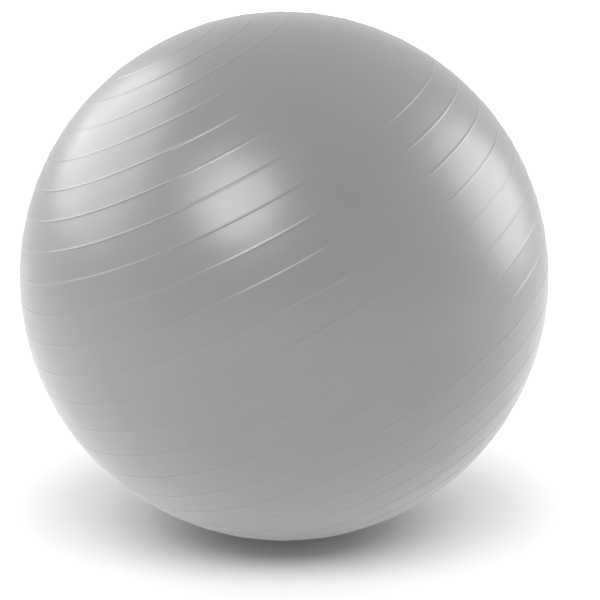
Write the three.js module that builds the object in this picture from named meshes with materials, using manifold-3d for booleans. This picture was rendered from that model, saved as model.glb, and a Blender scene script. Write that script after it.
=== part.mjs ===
// An inflated exercise ball, lying on a floor: a hollow shell of soft PVC with thin anti-slip ribs moulded
// round it, a valve seat fused into its wall, and the push-in plug that closes the valve.
//
// Millimetres, +Z up. The origin is the centre of the flat patch that the ball rests on.
// The shell is built in the mould's own frame: its centre at the ball's centre, and its Z axis through the
// mould's poles, so that latitude and longitude name a place on the ball. Every rib is a circle of latitude.

import * as THREE from "three";
import { mergeVertices } from "three/addons/utils/BufferGeometryUtils.js";
import Module from "manifold-3d";

// The ball, inflated
const BALL_RADIUS = 275; // of the smooth skin: a 55 cm ball
const WALL = 0.8; // blown up, the skin is stretched to well under half its thickness in the mould
const PATCH_RADIUS = 32; // the ball's weight presses a flat patch of this radius against the floor
const LONGITUDES = 48; // flat sides round the mould's axis
const POLE_LATITUDE = 90;

// Ribs
const RIBS_EACH_SIDE = 12; // of the middle rib
const RIB_HEIGHT = 0.4;
const RIB_WIDTH = 3.5;
const RIB_PITCH = 6.16; // degrees of latitude
const MIDDLE_RIB = 0.55; // its latitude
const EVEN_RIBS = 7; // each side; the pitch grows beyond them, towards the pole
const PITCH_GROWTH = 0.13; // degrees, times the square of the rib's number past the even ones

// Two smooth panels, one on each side of the ball, where the ribs fade out. Each is an upright area and a
// second one that reaches east from its top, in degrees: longitudes from the panel's middle, and latitudes.
const PANEL_MIDDLES = [0, 180];
const PANEL_AREAS = [
  { west: -9, east: 9, south: -12, north: 56 },
  { west: -9, east: 50, south: 38, north: 58 },
];
const PANEL_FADE = 6; // over which a rib sinks into the panel

// How the ball lies, in degrees: the mould's axis leans by TILT from vertical, towards HEADING from +X, and the
// ball is turned by SPIN about that axis. Longitude 0 is the middle of the front panel.
const TILT = 28;
const HEADING = 200;
const SPIN = 101;

// The valve, in the middle of the rear panel. Its profiles hold [radius, height], and height 0 is on the ball's
// skin, with + outwards.
const VALVE_LATITUDE = 22;
const VALVE_LONGITUDE = 180;
const VALVE_SIDES = 40;
const GAP = 0.3; // between pieces that touch
const PAD_TOP = 0.6; // the raised pad round the valve
const COLLAR_RADIUS = 14;
const DISH_RADIUS = 11.6; // the dish that the plug's head lies in
const DISH_FLOOR_RADIUS = 10;
const DISH_FLOOR = -1.4;
const BORE_RADIUS = 4.7;
const NECK_RADIUS = 7.5;
const NECK_BOTTOM = -24;
const FLANGE_RADIUS = 18.5;
const PLUG_HEAD_RADIUS = 8.5;
const PLUG_HEAD_TOP = 0.3;
const SHANK_RADIUS = 3.8;
const BARB_RADIUS = BORE_RADIUS - GAP;
const BARB_PITCH = 4.6;
const BARBS = 4;
const PLUG_TIP = -26.5;

const wasm = await Module();
wasm.setup();

const sag = BALL_RADIUS - Math.sqrt(BALL_RADIUS ** 2 - PATCH_RADIUS ** 2);
const centreHeight = BALL_RADIUS - sag;
const radians = THREE.MathUtils.degToRad;
const ribHalfAngle = THREE.MathUtils.radToDeg(RIB_WIDTH / 2 / BALL_RADIUS);

const vinyl = new THREE.MeshStandardMaterial({ color: 0x9a9a9b, roughness: 0.42, metalness: 0 });
const seatVinyl = new THREE.MeshStandardMaterial({ color: 0x8d8d8f, roughness: 0.5, metalness: 0 });
const plugPlastic = new THREE.MeshStandardMaterial({ color: 0xededea, roughness: 0.4, metalness: 0 });

// A closed geometry as a solid, and a solid as a geometry with flat faces.
function solidOf(geometry) {
  const plain = geometry.clone();
  plain.deleteAttribute("normal");
  plain.deleteAttribute("uv");
  const merged = mergeVertices(plain, 1e-4);
  return new wasm.Manifold(
    new wasm.Mesh({
      numProp: 3,
      vertProperties: merged.attributes.position.array,
      triVerts: merged.index.array,
    }),
  );
}

function geometryOf(solid) {
  const { numProp, numVert, vertProperties, triVerts } = solid.getMesh();
  const positions = new Float32Array(numVert * 3);
  for (let i = 0; i < numVert; i++)
    positions.set(vertProperties.subarray(i * numProp, i * numProp + 3), i * 3);
  const indexed = new THREE.BufferGeometry()
    .setAttribute("position", new THREE.BufferAttribute(positions, 3))
    .setIndex(new THREE.BufferAttribute(triVerts, 1));
  const flat = indexed.toNonIndexed();
  flat.computeVertexNormals();
  return flat;
}

// A turned solid about Z from [radius, height] pairs that run anticlockwise: upwards on the outside.
function turned(profile, sides) {
  const points = profile.map(([radius, height]) => new THREE.Vector2(radius, height));
  return new THREE.LatheGeometry(points, sides).rotateX(Math.PI / 2);
}

function closedRing(profile, sides) {
  return turned([...profile, profile[0]], sides);
}

// Ribs and smooth panels, by latitude and longitude in degrees

function ribLatitudes() {
  const latitudes = [];
  for (let n = -RIBS_EACH_SIDE; n <= RIBS_EACH_SIDE; n++) {
    const past = Math.max(0, Math.abs(n) - EVEN_RIBS);
    latitudes.push(MIDDLE_RIB + RIB_PITCH * n + Math.sign(n) * PITCH_GROWTH * past ** 2);
  }
  return latitudes;
}

// 1 from low to high, falling to 0 over the fade outside them
function inside(x, low, high) {
  const { smoothstep } = THREE.MathUtils;
  return smoothstep(x, low - PANEL_FADE, low) * (1 - smoothstep(x, high, high + PANEL_FADE));
}

function panelShare(latitude, longitude) {
  const shares = PANEL_MIDDLES.flatMap((middle) => {
    const turn = THREE.MathUtils.euclideanModulo(longitude - middle + 180, 360) - 180;
    return PANEL_AREAS.map(
      ({ west, east, south, north }) => inside(turn, west, east) * inside(latitude, south, north),
    );
  });
  return Math.max(...shares);
}

// How far the skin stands above the ball's radius
function lift(latitude, longitude, ribs) {
  const nearest = Math.min(...ribs.map((rib) => Math.abs(rib - latitude)));
  const profile = Math.max(0, 1 - nearest / ribHalfAngle);
  return RIB_HEIGHT * profile * (1 - panelShare(latitude, longitude));
}

function sphereOf(radius, latitudes) {
  const rows = [-POLE_LATITUDE, ...latitudes, POLE_LATITUDE];
  const profile = rows.map((latitude) => [
    Math.abs(latitude) === POLE_LATITUDE ? 0 : radius * Math.cos(radians(latitude)),
    radius * Math.sin(radians(latitude)),
  ]);
  return turned(profile, LONGITUDES);
}

function raiseRibs(geometry, ribs) {
  const position = geometry.attributes.position;
  const point = new THREE.Vector3();
  for (let i = 0; i < position.count; i++) {
    point.fromBufferAttribute(position, i);
    const latitude = THREE.MathUtils.radToDeg(Math.asin(point.z / BALL_RADIUS));
    const longitude = THREE.MathUtils.radToDeg(Math.atan2(point.y, point.x));
    point.setLength(BALL_RADIUS + lift(latitude, longitude, ribs));
    position.setXYZ(i, point.x, point.y, point.z);
  }
  return geometry;
}

// The way from the mould's frame to the part's frame, about the ball's centre
function layDown(object) {
  object.rotation.set(0, radians(TILT), radians(HEADING), "ZYX");
  object.rotateZ(radians(SPIN));
  return object;
}

// From the valve's frame to the mould's: the valve's Z axis points out of the ball
function valveFrame(object) {
  const latitude = radians(VALVE_LATITUDE);
  const longitude = radians(VALVE_LONGITUDE);
  const outwards = new THREE.Vector3(
    Math.cos(latitude) * Math.cos(longitude),
    Math.cos(latitude) * Math.sin(longitude),
    Math.sin(latitude),
  );
  object.position.copy(outwards).multiplyScalar(BALL_RADIUS);
  object.quaternion.setFromUnitVectors(new THREE.Vector3(0, 0, 1), outwards);
  object.updateMatrix();
  return object;
}

// What a level floor at this height leaves of a sphere, in the mould's frame
function flattened(sphere, floorHeight) {
  const size = 4 * BALL_RADIUS;
  const lying = layDown(new THREE.Object3D());
  lying.updateMatrix();
  const below = new THREE.BoxGeometry(size, size, size)
    .translate(0, 0, floorHeight - centreHeight - size / 2)
    .applyMatrix4(lying.matrix.invert());
  return solidOf(sphere).subtract(solidOf(below));
}

function shellGeometry() {
  const ribs = ribLatitudes();
  const rows = ribs.flatMap((rib) => [rib - ribHalfAngle, rib, rib + ribHalfAngle]);
  const outside = flattened(raiseRibs(sphereOf(BALL_RADIUS, rows), ribs), 0);
  const inside = flattened(sphereOf(BALL_RADIUS - WALL, ribs), WALL);

  const toMould = valveFrame(new THREE.Object3D()).matrix;
  const holeRadius = COLLAR_RADIUS + GAP;
  const boss = closedRing(
    [
      [holeRadius, -4.4],
      [18, -4.4],
      [28, -2.8],
      [23.5, -0.7],
      [21.5, PAD_TOP],
      [holeRadius, PAD_TOP],
    ],
    VALVE_SIDES,
  ).applyMatrix4(toMould);
  const hole = new THREE.CylinderGeometry(holeRadius, holeRadius, 30, VALVE_SIDES)
    .rotateX(Math.PI / 2)
    .applyMatrix4(toMould);
  const wall = outside.subtract(inside).subtract(solidOf(hole));
  return geometryOf(wall.add(solidOf(boss)));
}

function seatGeometry() {
  return closedRing(
    [
      [BORE_RADIUS, NECK_BOTTOM],
      [NECK_RADIUS - 1, NECK_BOTTOM],
      [NECK_RADIUS, NECK_BOTTOM + 1],
      [NECK_RADIUS, -8.2],
      [NECK_RADIUS + 1.6, -6.6],
      [FLANGE_RADIUS - 0.6, -6.2],
      [FLANGE_RADIUS, -5.6],
      [FLANGE_RADIUS, -5.1],
      [COLLAR_RADIUS, -4.8],
      [COLLAR_RADIUS, PAD_TOP],
      [DISH_RADIUS, PAD_TOP],
      [DISH_FLOOR_RADIUS, DISH_FLOOR],
      [BORE_RADIUS + 0.8, DISH_FLOOR],
      [BORE_RADIUS, DISH_FLOOR - 0.8],
    ],
    VALVE_SIDES,
  );
}

function plugGeometry() {
  const headBottom = DISH_FLOOR + GAP;
  const coreRadius = 1.7;
  const coreDepth = 13;
  const profile = [
    [0, PLUG_TIP],
    [SHANK_RADIUS - 1.4, PLUG_TIP],
    [SHANK_RADIUS - 0.4, PLUG_TIP + 1.4],
    [SHANK_RADIUS, PLUG_TIP + 4],
  ];
  for (let n = 0; n < BARBS; n++) {
    const barb = PLUG_TIP + 5 + n * BARB_PITCH;
    profile.push([SHANK_RADIUS, barb], [BARB_RADIUS, barb + 1.8], [BARB_RADIUS, barb + 2.2]);
    profile.push([SHANK_RADIUS, barb + 2.8]);
  }
  profile.push(
    [SHANK_RADIUS, headBottom - 1],
    [SHANK_RADIUS + 0.6, headBottom],
    [PLUG_HEAD_RADIUS - 0.3, headBottom],
    [PLUG_HEAD_RADIUS, headBottom + 0.4],
    [PLUG_HEAD_RADIUS, PLUG_HEAD_TOP - 0.5],
    [PLUG_HEAD_RADIUS - 0.5, PLUG_HEAD_TOP],
    [coreRadius + 0.4, PLUG_HEAD_TOP],
    [coreRadius, PLUG_HEAD_TOP - 0.4],
    [coreRadius, PLUG_HEAD_TOP - coreDepth],
    [0, PLUG_HEAD_TOP - coreDepth - 0.8],
  );
  return turned(profile, VALVE_SIDES);
}

function part(name, geometry, material) {
  const mesh = new THREE.Mesh(geometry, material);
  mesh.name = name;
  return mesh;
}

const valve = valveFrame(new THREE.Group()).add(
  part("valve_seat", seatGeometry(), seatVinyl),
  part("valve_plug", plugGeometry(), plugPlastic),
);
const ball = layDown(new THREE.Group()).add(part("ball_shell", shellGeometry(), vinyl), valve);
ball.position.set(0, 0, centreHeight);

const exerciseBall = new THREE.Group().add(ball);
exerciseBall.name = "exercise_ball";

export default exerciseBall;
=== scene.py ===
"""How the exercise ball looks: a hollow skin of soft grey vinyl with thin ribs, and its valve.

Metres, in the CAD's frame. The skin is made in the mould's frame, whose Z axis runs through the
mould's poles, so that latitude and longitude name a place on it. The valve's pieces are made in the
valve's frame, whose Z axis points out of the ball. Latitudes, longitudes and turns are in degrees.
"""

import math

import bmesh
import bpy
import numpy as np
from mathutils import Matrix, Quaternion, Vector


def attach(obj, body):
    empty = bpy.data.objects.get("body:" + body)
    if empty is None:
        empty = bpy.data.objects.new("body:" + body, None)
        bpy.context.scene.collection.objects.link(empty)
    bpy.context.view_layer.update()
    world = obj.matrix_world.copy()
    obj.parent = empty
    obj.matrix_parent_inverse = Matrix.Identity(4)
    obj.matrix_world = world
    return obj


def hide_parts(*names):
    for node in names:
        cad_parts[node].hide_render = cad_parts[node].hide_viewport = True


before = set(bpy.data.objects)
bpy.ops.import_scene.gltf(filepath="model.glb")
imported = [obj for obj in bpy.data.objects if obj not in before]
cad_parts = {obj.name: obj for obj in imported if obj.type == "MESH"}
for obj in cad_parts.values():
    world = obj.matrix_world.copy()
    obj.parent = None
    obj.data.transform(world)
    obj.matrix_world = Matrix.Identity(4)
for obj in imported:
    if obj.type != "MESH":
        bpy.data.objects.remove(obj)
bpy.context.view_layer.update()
MM = 0.001

# The ball. These repeat the CAD's dimensions, apart from the height of the ribs.
RADIUS = 275 * MM
WALL = 0.8 * MM
PATCH_RADIUS = 32 * MM
RIBS_EACH_SIDE = 12
RIB_HEIGHT = 0.34 * MM  # the crests are rounded here; in the CAD they are sharp and 0.4 mm high
RIB_WIDTH = 3.5 * MM
RIB_HALF_ANGLE = math.degrees(RIB_WIDTH / 2 / RADIUS)
RIB_PITCH = 6.16
MIDDLE_RIB = 0.55
EVEN_RIBS = 7
PITCH_GROWTH = 0.13
PANEL_MIDDLES = (0, 180)
PANEL_AREAS = ((-9, 9, -12, 56), (-9, 50, 38, 58))  # west, east, south and north
PANEL_FADE = 6
TILT = 28
HEADING = 200
SPIN = 101
CENTRE = Vector((0, 0, math.sqrt(RADIUS**2 - PATCH_RADIUS**2)))
FLOOR_TURN = 0.25 * MM  # how softly the skin turns up where it leaves the floor

# The rows and columns of the skin's mesh
ROWS_ON_RIB = (-1.14, -0.96, -0.72, -0.48, -0.2, 0, 0.2, 0.48, 0.72, 0.96, 1.14)  # in half widths
ROWS_BETWEEN_RIBS = (0.25, 0.42, 0.58, 0.75)
CAP_STEP = 1.6
CAP_REACH = 11
OUTER_COLUMNS = 360
INNER_COLUMNS = 96
INNER_STEP = 3.75
INNER_REACH = 86.25
THINNING = ((60, 1), (74, 2), (82, 4), (86, 8), (90, 16))  # below this latitude, one column in n

# The block left out round the valve: its lowest and highest latitude and half its width
OUTER_BLOCK = (13.2, 30.9, 10)
INNER_BLOCK = (11.25, 33.75, 11.25)
BLOCK_TO_PAD = (0.14, 0.3, 0.5, 0.7, 0.86)  # shares of the way from the block's edge to the pad

# The valve's pad, hole and boss. Heights count from the smooth skin, with + outwards.
VALVE_LATITUDE = 22
VALVE_LONGITUDE = 180
PAD_TOP = 0.6 * MM
PAD_EDGE = (20.6 * MM, 24.4 * MM)  # where the pad starts to fall and where it has met the skin
PAD_CIRCLES = (26, 24.9, 24.2, 23.6, 23.0, 22.4, 21.8, 21.2, 20.7, 20.2, 19, 17.5, 16.2)
HOLE_RADIUS = 14.3 * MM
HOLE_MIDDLE = -2 * MM
HOLE_ROUNDING = 0.4 * MM
HOLE_TOP_STEPS = 5  # along the rounded edge
HOLE_BOTTOM_STEPS = 3
BOSS_BOTTOM = -4.4 * MM
BOSS_CIRCLES = ((18, -4.4), (21, -4.1), (26, -3.15), (30, -2.75))
INNER_CIRCLES = (34, 40)

# The turned pieces, as (radius, height) in millimetres. The seat's profile is closed. The plug's
# starts and ends on the axis.
CORNER_SHARE = 0.45  # the most of a side that a rounded corner takes up
SEAT_PROFILE = (
    (4.7, -24), (6.5, -24), (7.5, -23), (7.5, -8.2), (9.1, -6.6), (17.9, -6.2), (18.5, -5.6),
    (18.5, -5.1), (14, -4.8), (14, 0.6), (11.6, 0.6), (10, -1.4), (5.5, -1.4), (4.7, -2.2),
)
SEAT_ROUNDING = 0.45 * MM
SEAT_CORNER_STEPS = 4
SEAT_SIDES = 128
PLUG_TIP = -26.5
PLUG_TIP_PROFILE = ((0, 0), (2.4, 0), (3.4, 1.4), (3.8, 4))  # heights above the tip
PLUG_BARBS = 4
BARB_START = 5  # above the tip
BARB_PITCH = 4.6
BARB_PROFILE = ((3.8, 0), (4.4, 1.8), (4.4, 2.2), (3.8, 2.8))  # heights above the barb's foot
PLUG_HEAD_PROFILE = (
    (3.8, -2.1), (4.4, -1.1), (8.2, -1.1), (8.5, -0.7), (8.5, -0.2), (8.0, 0.3),
    (2.1, 0.3), (1.7, -0.1), (1.7, -12.7), (0, -13.5),
)
PLUG_ROUNDING = 0.3 * MM
PLUG_CORNER_STEPS = 3
PLUG_SIDES = 96


# ---------------------------------------------------------------- frames

def turn(degrees, axis):
    return Matrix.Rotation(math.radians(degrees), 4, axis)


MOULD = Matrix.Translation(CENTRE) @ turn(HEADING, "Z") @ turn(TILT, "Y") @ turn(SPIN, "Z")


def direction(latitude, longitude):
    """The unit vector in the mould's frame, for arrays of degrees."""
    la, lo = np.radians(latitude), np.radians(longitude)
    return np.stack([np.cos(la) * np.cos(lo), np.cos(la) * np.sin(lo), np.sin(la)], axis=-1)


VALVE_OUT = Vector(direction(VALVE_LATITUDE, VALVE_LONGITUDE))
VALVE = (
    MOULD
    @ Matrix.Translation(VALVE_OUT * RADIUS)
    @ Vector((0, 0, 1)).rotation_difference(VALVE_OUT).to_matrix().to_4x4()
)
VALVE_IN_MOULD = MOULD.inverted() @ VALVE


def carried(matrix, points):
    m = np.array(matrix)
    return np.asarray(points) @ m[:3, :3].T + m[:3, 3]


def circle(angles, radius, height):
    """The points of a circle about a frame's Z axis."""
    levels = np.full(len(angles), height)
    return np.stack([radius * np.cos(angles), radius * np.sin(angles), levels], axis=-1)


# ---------------------------------------------------------------- the skin's surface

def smoothstep(x, low, high):
    t = np.clip((x - low) / (high - low), 0, 1)
    return t * t * (3 - 2 * t)


def rib_latitudes():
    found = []
    for n in range(-RIBS_EACH_SIDE, RIBS_EACH_SIDE + 1):
        past = max(0, abs(n) - EVEN_RIBS)
        growth = math.copysign(PITCH_GROWTH * past**2, n)
        found.append(MIDDLE_RIB + RIB_PITCH * n + growth)
    return np.array(found)


RIBS = rib_latitudes()


def inside(x, low, high, fade):
    """1 from low to high, falling to 0 over the fade outside them."""
    return smoothstep(x, low - fade, low) * (1 - smoothstep(x, high, high + fade))


def panel_share(latitude, longitude):
    """1 inside the smooth panels, where the ribs fade out, and 0 away from them."""
    share = np.zeros_like(latitude)
    for middle in PANEL_MIDDLES:
        east_of_middle = (longitude - middle + 180) % 360 - 180
        for west, east, south, north in PANEL_AREAS:
            in_width = inside(east_of_middle, west, east, PANEL_FADE)
            in_height = inside(latitude, south, north, PANEL_FADE)
            share = np.maximum(share, in_width * in_height)
    return share


def rib_profile(latitude):
    """1 on a rib's crest and 0 off the ribs: halfway between a rounded rib and a pointed one."""
    nearest = np.abs(latitude[..., None] - RIBS).min(axis=-1)
    off_crest = np.clip(nearest / RIB_HALF_ANGLE, 0, 1)
    round_rib = np.cos(off_crest * math.pi / 2) ** 2
    return 0.5 * round_rib + 0.5 * (1 - off_crest)


def skin_points(directions, radius, floor, ribs=True):
    """Where the skin is, in the row frame, along these directions in the mould's frame."""
    latitude = np.degrees(np.arcsin(np.clip(directions[..., 2], -1, 1)))
    longitude = np.degrees(np.arctan2(directions[..., 1], directions[..., 0]))
    reach = np.full(latitude.shape, radius)
    if ribs:
        reach = reach + RIB_HEIGHT * rib_profile(latitude) * (1 - panel_share(latitude, longitude))
    return pressed(carried(MOULD, directions * reach[..., None]), floor)


def pressed(points, floor):
    """The points kept above a floor at this height, with a soft turn where the skin leaves it."""
    above = points[..., 2] - floor
    turning = (above + FLOOR_TURN) ** 2 / (4 * FLOOR_TURN)
    lifted = np.where(above > FLOOR_TURN, above, np.where(above < -FLOOR_TURN, 0, turning))
    points = points.copy()
    points[..., 2] = floor + lifted
    return points


# ---------------------------------------------------------------- building meshes from rings

def linked(name, data):
    made = bpy.data.objects.new(name, data)
    bpy.context.scene.collection.objects.link(made)
    return made


class Rings:
    """A mesh made of closed rings of points joined one to the next."""

    def __init__(self):
        self.points = []
        self.faces = []

    def add(self, points):
        start = len(self.points)
        self.points.extend(np.asarray(points).tolist())
        return list(range(start, start + len(points)))

    def join(self, a, b):
        """Faces between two closed rings that start at the same place and run the same way."""
        m, n = len(a), len(b)
        if m == n:
            for i in range(m):
                self.faces.append((a[i], a[(i + 1) % m], b[(i + 1) % n], b[i]))
            return
        i = j = 0
        while i < m or j < n:
            if j == n or (i < m and (i + 1) * n <= (j + 1) * m):
                self.faces.append((a[i % m], a[(i + 1) % m], b[j % n]))
                i += 1
            else:
                self.faces.append((a[i % m], b[(j + 1) % n], b[j % n]))
                j += 1

    def join_outside(self, a, b, first, last):
        """Faces between two equal rings, apart from the columns from first to last."""
        for c in range(len(a)):
            if not first <= c < last:
                d = (c + 1) % len(a)
                self.faces.append((a[c], a[d], b[d], b[c]))

    def chain(self, last, points):
        """A new ring of these points, joined to the last one."""
        ring = self.add(points)
        self.join(last, ring)
        return ring

    def fan(self, ring, point):
        tip = self.add([point])[0]
        for i in range(len(ring)):
            self.faces.append((ring[i], ring[(i + 1) % len(ring)], tip))

    def mesh_object(self, name):
        mesh = bpy.data.meshes.new(name)
        mesh.from_pydata(self.points, [], self.faces)
        work = bmesh.new()
        work.from_mesh(mesh)
        loose = [v for v in work.verts if not v.link_faces]
        bmesh.ops.delete(work, geom=loose, context="VERTS")
        bmesh.ops.recalc_face_normals(work, faces=work.faces)
        for face in work.faces:
            face.smooth = True
        work.to_mesh(mesh)
        work.free()
        return linked(name, mesh)


def row_latitudes():
    """Fine rows across every rib, a few between ribs, and even rows on the caps."""
    rows = []
    for n, rib in enumerate(RIBS):
        rows.extend(rib + RIB_HALF_ANGLE * t for t in ROWS_ON_RIB)
        if n + 1 < len(RIBS):
            rows.extend(rib + (RIBS[n + 1] - rib) * t for t in ROWS_BETWEEN_RIBS)
    for cap in np.arange(CAP_STEP, CAP_REACH, CAP_STEP):
        rows.append(RIBS[-1] + cap)
        rows.append(RIBS[0] - cap)
    return np.array(sorted(rows))


def columns_at(latitude, most):
    """Fewer points round a ring as it nears a pole."""
    return next(most // share for limit, share in THINNING if abs(latitude) < limit)


def block_edge(bottom, top, first, last):
    """The rows and columns round a block, once round from its lower first corner."""
    edge = [(bottom, c) for c in range(first, last)]
    edge += [(r, last) for r in range(bottom, top)]
    edge += [(top, c) for c in range(last, first, -1)]
    return edge + [(r, first) for r in range(top, bottom, -1)]


def sphere_rings(rings, latitudes, most, radius, floor, ribs, block):
    """One side of the skin, open over a block of rows and columns round the valve.

    Returns the points of the block's edge and their directions.
    """
    low, high, half = block
    ids = []
    for latitude in latitudes:
        count = columns_at(latitude, most)
        longitude = np.arange(count) * 360 / count
        at = direction(np.full(count, latitude), longitude)
        ids.append(rings.add(skin_points(at, radius, floor, ribs)))
    first = round((VALVE_LONGITUDE - half) * most / 360)
    last = round((VALVE_LONGITUDE + half) * most / 360)
    bottom = int(np.argmin(np.abs(latitudes - low)))
    top = int(np.argmin(np.abs(latitudes - high)))
    for r in range(len(latitudes) - 1):
        if bottom <= r < top:
            rings.join_outside(ids[r], ids[r + 1], first, last)
        else:
            rings.join(ids[r], ids[r + 1])
    poles = skin_points(np.array([[0, 0, -1.0], [0, 0, 1.0]]), radius, floor, ribs)
    rings.fan(ids[0], poles[0])
    rings.fan(ids[-1], poles[1])
    edge = block_edge(bottom, top, first, last)
    edge_latitudes = np.array([latitudes[r] for r, _ in edge])
    edge_longitudes = np.array([c * 360 / most for _, c in edge])
    return [ids[r][c] for r, c in edge], direction(edge_latitudes, edge_longitudes)


def valve_polar(where):
    """The angle round the valve's axis and away from it of directions in the mould's frame."""
    local = where @ np.array(VALVE_IN_MOULD.inverted().to_3x3()).T
    angle = np.unwrap(np.arctan2(local[:, 1], local[:, 0]))
    return angle, np.arccos(np.clip(local[:, 2], -1, 1))


def valve_direction(angle, away):
    """The opposite of valve_polar."""
    flat = np.sin(away)
    local = np.stack([flat * np.cos(angle), flat * np.sin(angle), np.cos(away)], axis=-1)
    return local @ np.array(VALVE_IN_MOULD.to_3x3()).T


def even_angles(angle):
    """The same number of angles, evenly spaced, running the same way."""
    way = math.copysign(1, angle[-1] - angle[0])
    even = way * np.arange(len(angle)) * 2 * math.pi / len(angle)
    return even + np.mean(angle - even)


def below_skin(r, radius=RADIUS):
    """How high a sphere about the ball's centre is in the valve's frame, at r from its axis."""
    return np.sqrt(radius**2 - r**2) - RADIUS


def arc(centre, radius, start, end, steps):
    angles = np.radians(np.linspace(start, end, steps + 1))
    return [(centre[0] + radius * math.cos(t), centre[1] + radius * math.sin(t)) for t in angles]


def scaled(pairs):
    return [(r * MM, h * MM) for r, h in pairs]


def pad_profile():
    """From the skin in to the hole, over its rounded edges, and out again under the boss."""
    pad = []
    for r in np.array(PAD_CIRCLES) * MM:
        fall = smoothstep(r, *PAD_EDGE)
        pad.append((r, PAD_TOP * (1 - fall) + below_skin(r) * fall))
    edge = HOLE_RADIUS + HOLE_ROUNDING
    top_centre = (edge, PAD_TOP - HOLE_ROUNDING)
    bottom_centre = (edge, BOSS_BOTTOM + HOLE_ROUNDING)
    top = arc(top_centre, HOLE_ROUNDING, 90, 180, HOLE_TOP_STEPS)
    bottom = arc(bottom_centre, HOLE_ROUNDING, 180, 270, HOLE_BOTTOM_STEPS)
    inner = [(r * MM, float(below_skin(r * MM, RADIUS - WALL))) for r in INNER_CIRCLES]
    return pad + top + [(HOLE_RADIUS, HOLE_MIDDLE)] + bottom + scaled(BOSS_CIRCLES) + inner


def make_skin():
    rings = Rings()
    last, where = sphere_rings(
        rings, row_latitudes(), OUTER_COLUMNS, RADIUS, 0, True, OUTER_BLOCK
    )
    angle, away = valve_polar(where)
    even = even_angles(angle)
    profile = pad_profile()
    start = math.asin(profile[0][0] / RADIUS)
    for t in BLOCK_TO_PAD:
        at = valve_direction(angle * (1 - t) + even * t, away * (1 - t) + start * t)
        last = rings.chain(last, skin_points(at, RADIUS, 0))
    for r, height in profile:
        last = rings.chain(last, carried(VALVE, circle(even, r, height)))
    latitudes = np.arange(-INNER_REACH, INNER_REACH + 0.01, INNER_STEP)
    inner, _ = sphere_rings(
        rings, latitudes, INNER_COLUMNS, RADIUS - WALL, WALL, False, INNER_BLOCK
    )
    # Both rings start at the same corner of their blocks, so they only have to be joined in step.
    rings.join(last, inner)
    return rings.mesh_object("skin")


# ---------------------------------------------------------------- turned pieces of the valve

def rounded(profile, size, steps):
    """The closed profile with each corner cut back to a curve of about that size."""
    made = []
    for i, corner in enumerate(profile):
        here = np.array(corner)
        before = np.array(profile[i - 1]) - here
        after = np.array(profile[(i + 1) % len(profile)]) - here
        to_before, to_after = np.linalg.norm(before), np.linalg.norm(after)
        cut = min(size, to_before * CORNER_SHARE, to_after * CORNER_SHARE)
        a = here + before / to_before * cut
        b = here + after / to_after * cut
        for t in np.linspace(0, 1, steps + 1):
            made.append(tuple((1 - t) ** 2 * a + 2 * t * (1 - t) * here + t * t * b))
    return made


def turned(name, profile, sides, closed):
    """A turned piece about the valve's axis. An open profile starts and ends on the axis."""
    rings = Rings()
    angles = np.arange(sides) * 2 * math.pi / sides
    off_axis = profile if closed else profile[1:-1]
    made = [rings.add(carried(VALVE, circle(angles, r, height))) for r, height in off_axis]
    for a, b in zip(made, made[1:] + (made[:1] if closed else [])):
        rings.join(a, b)
    if not closed:
        ends = carried(VALVE, [(0, 0, profile[0][1]), (0, 0, profile[-1][1])])
        rings.fan(made[0], ends[0])
        rings.fan(made[-1], ends[1])
    return rings.mesh_object(name)


def make_seat():
    profile = rounded(scaled(SEAT_PROFILE), SEAT_ROUNDING, SEAT_CORNER_STEPS)
    return turned("seat", profile, SEAT_SIDES, closed=True)


def make_plug():
    pairs = [(r, PLUG_TIP + h) for r, h in PLUG_TIP_PROFILE]
    for n in range(PLUG_BARBS):
        foot = PLUG_TIP + BARB_START + n * BARB_PITCH
        pairs += [(r, foot + h) for r, h in BARB_PROFILE]
    profile = scaled(pairs + list(PLUG_HEAD_PROFILE))
    end = PLUG_CORNER_STEPS + 1  # the points made of each corner: both ends stay sharp
    smooth = rounded(profile, PLUG_ROUNDING, PLUG_CORNER_STEPS)[end:-end]
    return turned("plug", [profile[0]] + smooth + [profile[-1]], PLUG_SIDES, closed=False)


# ---------------------------------------------------------------- materials

# Scales are those of noises, in waves per metre, and heights are those of the bumps made from them.
CLOUD_SCALE = 7
PATCH_SCALE = 16
WAVE_SCALE = 14
WAVE_HEIGHT = 0.5 * MM
PEEL_SCALE = 330
PEEL_HEIGHT = 0.012 * MM
FINE_SCALE = 1100
FINE_HEIGHT = 0.003 * MM
TONE_SPREAD = 0.035  # of the vinyl's grey, each way
SMOOTHER, ROUGHER = 0.03, 0.04  # how far the vinyl's roughness strays
SKIN_ROUGHNESS = 0.32  # below 0.28 anywhere, denoising draws borders in the gloss
SEAT_ROUGHNESS = 0.42
VINYL_IOR = 1.5
PLASTIC_DARK = (0.47, 0.47, 0.458)
PLASTIC_LIGHT = (0.51, 0.51, 0.497)
PLASTIC_CLOUD_SCALE = 90
PLASTIC_PATCH_SCALE = 400
PLASTIC_ROUGHNESS = (0.34, 0.44)
PLASTIC_GRAIN_SCALE = 900
PLASTIC_GRAIN_HEIGHT = 0.01 * MM
PLASTIC_TRANSLUCENCE = 0.15
PLASTIC_LIGHT_REACH = 1.5 * MM  # how far light gets inside it


def material(name):
    made = bpy.data.materials.new(name)
    made.use_nodes = True
    tree = made.node_tree
    return made, tree, tree.nodes["Principled BSDF"]


def node(tree, kind, links=None, **settings):
    made = tree.nodes.new(kind)
    for key, value in settings.items():
        setattr(made, key, value)
    for key, source in (links or {}).items():
        tree.links.new(source, made.inputs[key])
    return made


def noise(tree, place, scale, detail, roughness=0.5):
    made = node(tree, "ShaderNodeTexNoise", {"Vector": place})
    made.inputs["Scale"].default_value = scale
    made.inputs["Detail"].default_value = detail
    made.inputs["Roughness"].default_value = roughness
    return made.outputs["Fac"]


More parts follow.
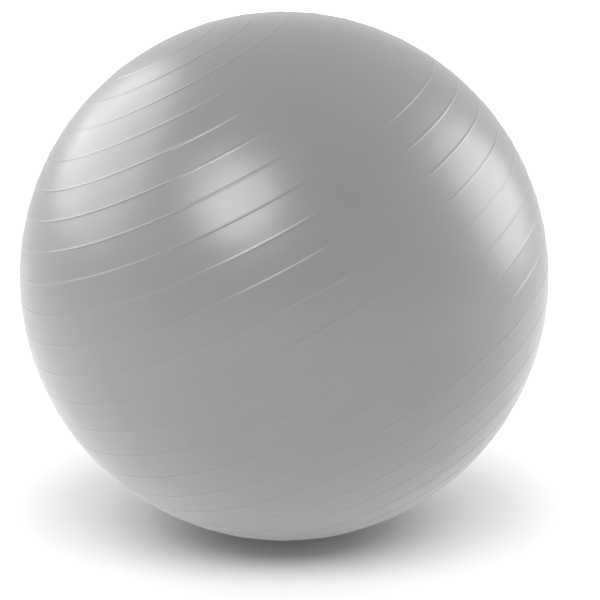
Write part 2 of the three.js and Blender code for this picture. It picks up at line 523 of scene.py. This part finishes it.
def ranged(tree, value, low, high, to_low, to_high):
    made = node(tree, "ShaderNodeMapRange", {"Value": value})
    made.inputs["From Min"].default_value = low
    made.inputs["From Max"].default_value = high
    made.inputs["To Min"].default_value = to_low
    made.inputs["To Max"].default_value = to_high
    return made.outputs["Result"]


def spread(tree, cloud, low, high):
    """A noise, most of which lies between 0.3 and 0.7, spread from low to high."""
    return ranged(tree, cloud, 0.3, 0.7, low, high)


def bump(tree, height, distance, after=None):
    made = node(tree, "ShaderNodeBump", {"Height": height})
    made.inputs["Distance"].default_value = distance
    made.inputs["Strength"].default_value = 1
    if after is not None:
        tree.links.new(after, made.inputs["Normal"])
    return made.outputs["Normal"]


def tint(tree, factor, dark, light):
    made = node(tree, "ShaderNodeMix", data_type="RGBA")
    made.inputs[6].default_value = (*dark, 1)
    made.inputs[7].default_value = (*light, 1)
    tree.links.new(factor, made.inputs[0])
    return made.outputs[2]


def vinyl(name, grey, roughness, grain=1.0, wave=1.0):
    """Soft moulded vinyl: cloudy in tone, satin, with a fine orange peel and a slow waviness."""
    made, tree, surface = material(name)
    place = node(tree, "ShaderNodeTexCoord").outputs["Object"]
    tone = spread(tree, noise(tree, place, CLOUD_SCALE, 4, 0.6), 0, 1)
    dark = [c * (1 - TONE_SPREAD) for c in grey]
    light = [c * (1 + TONE_SPREAD) for c in grey]
    tree.links.new(tint(tree, tone, dark, light), surface.inputs["Base Color"])
    patches = noise(tree, place, PATCH_SCALE, 5, 0.55)
    satin = spread(tree, patches, roughness - SMOOTHER, roughness + ROUGHER)
    tree.links.new(satin, surface.inputs["Roughness"])
    slow = bump(tree, noise(tree, place, WAVE_SCALE, 2, 0.4), WAVE_HEIGHT * wave)
    peel = bump(tree, noise(tree, place, PEEL_SCALE, 3), PEEL_HEIGHT * grain, slow)
    fine = bump(tree, noise(tree, place, FINE_SCALE, 1), FINE_HEIGHT * grain, peel)
    tree.links.new(fine, surface.inputs["Normal"])
    surface.inputs["IOR"].default_value = VINYL_IOR
    return made


def white_plastic(name):
    """Moulded plastic that lets a little light in."""
    made, tree, surface = material(name)
    place = node(tree, "ShaderNodeTexCoord").outputs["Object"]
    tone = spread(tree, noise(tree, place, PLASTIC_CLOUD_SCALE, 3), 0, 1)
    tree.links.new(tint(tree, tone, PLASTIC_DARK, PLASTIC_LIGHT), surface.inputs["Base Color"])
    satin = spread(tree, noise(tree, place, PLASTIC_PATCH_SCALE, 3), *PLASTIC_ROUGHNESS)
    tree.links.new(satin, surface.inputs["Roughness"])
    grain = bump(tree, noise(tree, place, PLASTIC_GRAIN_SCALE, 2), PLASTIC_GRAIN_HEIGHT)
    tree.links.new(grain, surface.inputs["Normal"])
    surface.inputs["Subsurface Weight"].default_value = PLASTIC_TRANSLUCENCE
    surface.inputs["Subsurface Scale"].default_value = PLASTIC_LIGHT_REACH
    surface.inputs["Subsurface Radius"].default_value = (1, 1, 1)
    return made


# ---------------------------------------------------------------- the pieces

skin = make_skin()
skin.data.materials.append(vinyl("skin_vinyl", (0.2, 0.2, 0.202), SKIN_ROUGHNESS))
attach(skin, "ball")
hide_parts("ball_shell")

seat = make_seat()
seat.data.materials.append(
    vinyl("seat_vinyl", (0.165, 0.165, 0.167), SEAT_ROUGHNESS, grain=1.5, wave=0.2)
)
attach(seat, "ball")
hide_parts("valve_seat")

plug = make_plug()
plug.data.materials.append(white_plastic("plug_plastic"))
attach(plug, "plug")
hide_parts("valve_plug")


# ---------------------------------------------------------------- floor, light and camera

WHITE = (1, 1, 1, 1)
CAMERA_ELEVATION = math.radians(10)
CAMERA_DISTANCE = 5 * RADIUS
CAMERA_WAY = Vector((0, -math.cos(CAMERA_ELEVATION), math.sin(CAMERA_ELEVATION)))  # from the ball
CAMERA_PLACE = CENTRE + CAMERA_WAY * CAMERA_DISTANCE
SENSOR_WIDTH = 36  # millimetres
FRAME_PIXELS = 600
FOCAL_PIXELS = 1295
AIM_RIGHT = 15.2  # how far from the ball's centre the camera aims, in pixels
AIM_DOWN = 23.1

# The world's brightness beside the ball, behind it and towards the camera
STUDIO_SIDE = 1.5
STUDIO_BACK = 1.1
STUDIO_FRONT = 0.75

# The floor. Round a dark place in front of the ball it sends up no light of its own, and further
# from there it sends up more. The camera doesn't see that light. What it sees is a glow that takes
# the floor to white away from the ball.
FLOOR_SIZE = 12
FLOOR_GREY = (0.58, 0.58, 0.58, 1)
FLOOR_ROUGHNESS = 0.8
DARK_PLACE = (0.3, -0.8, 0)
BOUNCE_REACH = (0.3, 1.1)  # from the dark place: none and all of the bounce
FLOOR_BOUNCE = 0.7
GLOW_REACH = (0.26, 0.55)  # from the ball's patch: none and all of the glow
FLOOR_GLOW = 0.33

# The wide light that only lights the floor
OVER_FLOOR_LEAN = math.radians(40)
OVER_FLOOR_DISTANCE = 2.6
OVER_FLOOR_SIZE = (3.65, 1.17)
OVER_FLOOR_RADIANCE = 9

# The lights that only show as reflections: name, the direction from the ball's centre of the spot
# where the camera sees it, size, radiance and lean
SOFTBOX_DISTANCE = 2.4
SOFTBOXES = (
    ("light_front_left", (-0.154, -0.902, 0.403), (1.3, 1.65), 11, 45),
    ("light_back_left", (-0.591, -0.614, 0.523), (2.1, 3.3), 4.3, 78),
    ("light_right", (0.674, -0.612, 0.414), (1.6, 2.2), 4.9, 21),
)


def is_camera_ray(tree):
    return node(tree, "ShaderNodeLightPath").outputs["Is Camera Ray"]


def make_floor():
    mesh = bpy.data.meshes.new("floor")
    low, high = -FLOOR_SIZE, FLOOR_SIZE
    corners = [(low, low, 0), (high, low, 0), (high, high, 0), (low, high, 0)]
    mesh.from_pydata(corners, [], [(0, 1, 2, 3)])
    made = linked("floor", mesh)
    paint, tree, surface = material("floor_white")
    surface.inputs["Base Color"].default_value = FLOOR_GREY
    surface.inputs["Roughness"].default_value = FLOOR_ROUGHNESS
    surface.inputs["Emission Color"].default_value = WHITE
    place = node(tree, "ShaderNodeTexCoord").outputs["Object"]
    away = node(tree, "ShaderNodeVectorMath", {0: place}, operation="LENGTH")
    before = node(tree, "ShaderNodeVectorMath", {0: place}, operation="DISTANCE")
    before.inputs[1].default_value = DARK_PLACE
    bounce = ranged(tree, before.outputs["Value"], *BOUNCE_REACH, 0, FLOOR_BOUNCE)
    glow = ranged(tree, away.outputs["Value"], *GLOW_REACH, 0, FLOOR_GLOW)
    sent = node(tree, "ShaderNodeMix", {0: is_camera_ray(tree), 2: bounce, 3: glow})
    tree.links.new(sent.outputs[0], surface.inputs["Emission Strength"])
    mesh.materials.append(paint)
    return made


def oval_light(name, size, radiance):
    width, depth = size
    data = bpy.data.lights.new(name, "AREA")
    data.shape = "ELLIPSE"
    data.size, data.size_y = width, depth
    data.energy = radiance * math.pi * width * depth * math.pi / 4
    made = linked(name, data)
    made.visible_camera = False
    return made


def softbox(name, spot, size, radiance, lean):
    """A light placed so that the camera sees it reflected at that spot on the ball."""
    made = oval_light(name, size, radiance)
    normal = Vector(spot).normalized()
    at = CENTRE + normal * RADIUS
    back = (CAMERA_PLACE - at).normalized()
    way = (2 * normal.dot(back) * normal - back).normalized()
    made.location = at + way * SOFTBOX_DISTANCE
    made.rotation_mode = "QUATERNION"
    upright = way.to_track_quat("Z", "Y")
    made.rotation_quaternion = Quaternion(way, math.radians(lean)) @ upright
    made.visible_diffuse = False


def light_floor(floor):
    """A wide light above and in front, so that the shadow lies under the ball and behind it."""
    made = oval_light("light_over_floor", OVER_FLOOR_SIZE, OVER_FLOOR_RADIANCE)
    forward, up = math.sin(OVER_FLOOR_LEAN), math.cos(OVER_FLOOR_LEAN)
    made.location = (0, -OVER_FLOOR_DISTANCE * forward, OVER_FLOOR_DISTANCE * up)
    made.rotation_euler = (OVER_FLOOR_LEAN, 0, 0)
    made.visible_glossy = False
    lit = bpy.data.collections.new("lit_floor")
    lit.objects.link(floor)
    made.light_linking.receiver_collection = lit


def make_studio():
    """Even light from all round, dimmer towards the camera and behind the ball.

    The camera itself sees white.
    """
    world = bpy.data.worlds.new("studio")
    bpy.context.scene.world = world
    world.use_nodes = True
    tree = world.node_tree
    background = tree.nodes["Background"]
    background.inputs["Color"].default_value = WHITE
    way = node(tree, "ShaderNodeTexCoord").outputs["Generated"]
    facing = node(tree, "ShaderNodeVectorMath", {0: way}, operation="DOT_PRODUCT")
    facing.inputs[1].default_value = CAMERA_WAY
    towards = facing.outputs["Value"]
    behind = ranged(tree, towards, -1, 0, STUDIO_BACK, STUDIO_SIDE)
    before = ranged(tree, towards, 0, 1, 0, STUDIO_FRONT - STUDIO_SIDE)
    level = node(tree, "ShaderNodeMath", {0: behind, 1: before}, operation="ADD").outputs[0]
    shown = node(tree, "ShaderNodeMix", {0: is_camera_ray(tree), 2: level})
    shown.inputs[3].default_value = STUDIO_SIDE
    tree.links.new(shown.outputs[0], background.inputs["Strength"])


def make_camera():
    """Level across, with the ball a little left of and above the middle of the frame."""
    data = bpy.data.cameras.new("camera")
    data.sensor_width = SENSOR_WIDTH
    data.lens = FOCAL_PIXELS / FRAME_PIXELS * SENSOR_WIDTH
    camera = linked("camera", data)
    right = Vector((1, 0, 0))
    up = right.cross(-CAMERA_WAY)
    metres_a_pixel = CAMERA_DISTANCE / FOCAL_PIXELS
    aim = CENTRE + (right * AIM_RIGHT - up * AIM_DOWN) * metres_a_pixel
    camera.location = CAMERA_PLACE
    camera.rotation_mode = "QUATERNION"
    camera.rotation_quaternion = (camera.location - aim).to_track_quat("Z", "Y")
    bpy.context.scene.camera = camera


floor = make_floor()
for settings in SOFTBOXES:
    softbox(*settings)
light_floor(floor)
make_studio()
make_camera()
bpy.context.scene.view_settings.view_transform = "Standard"
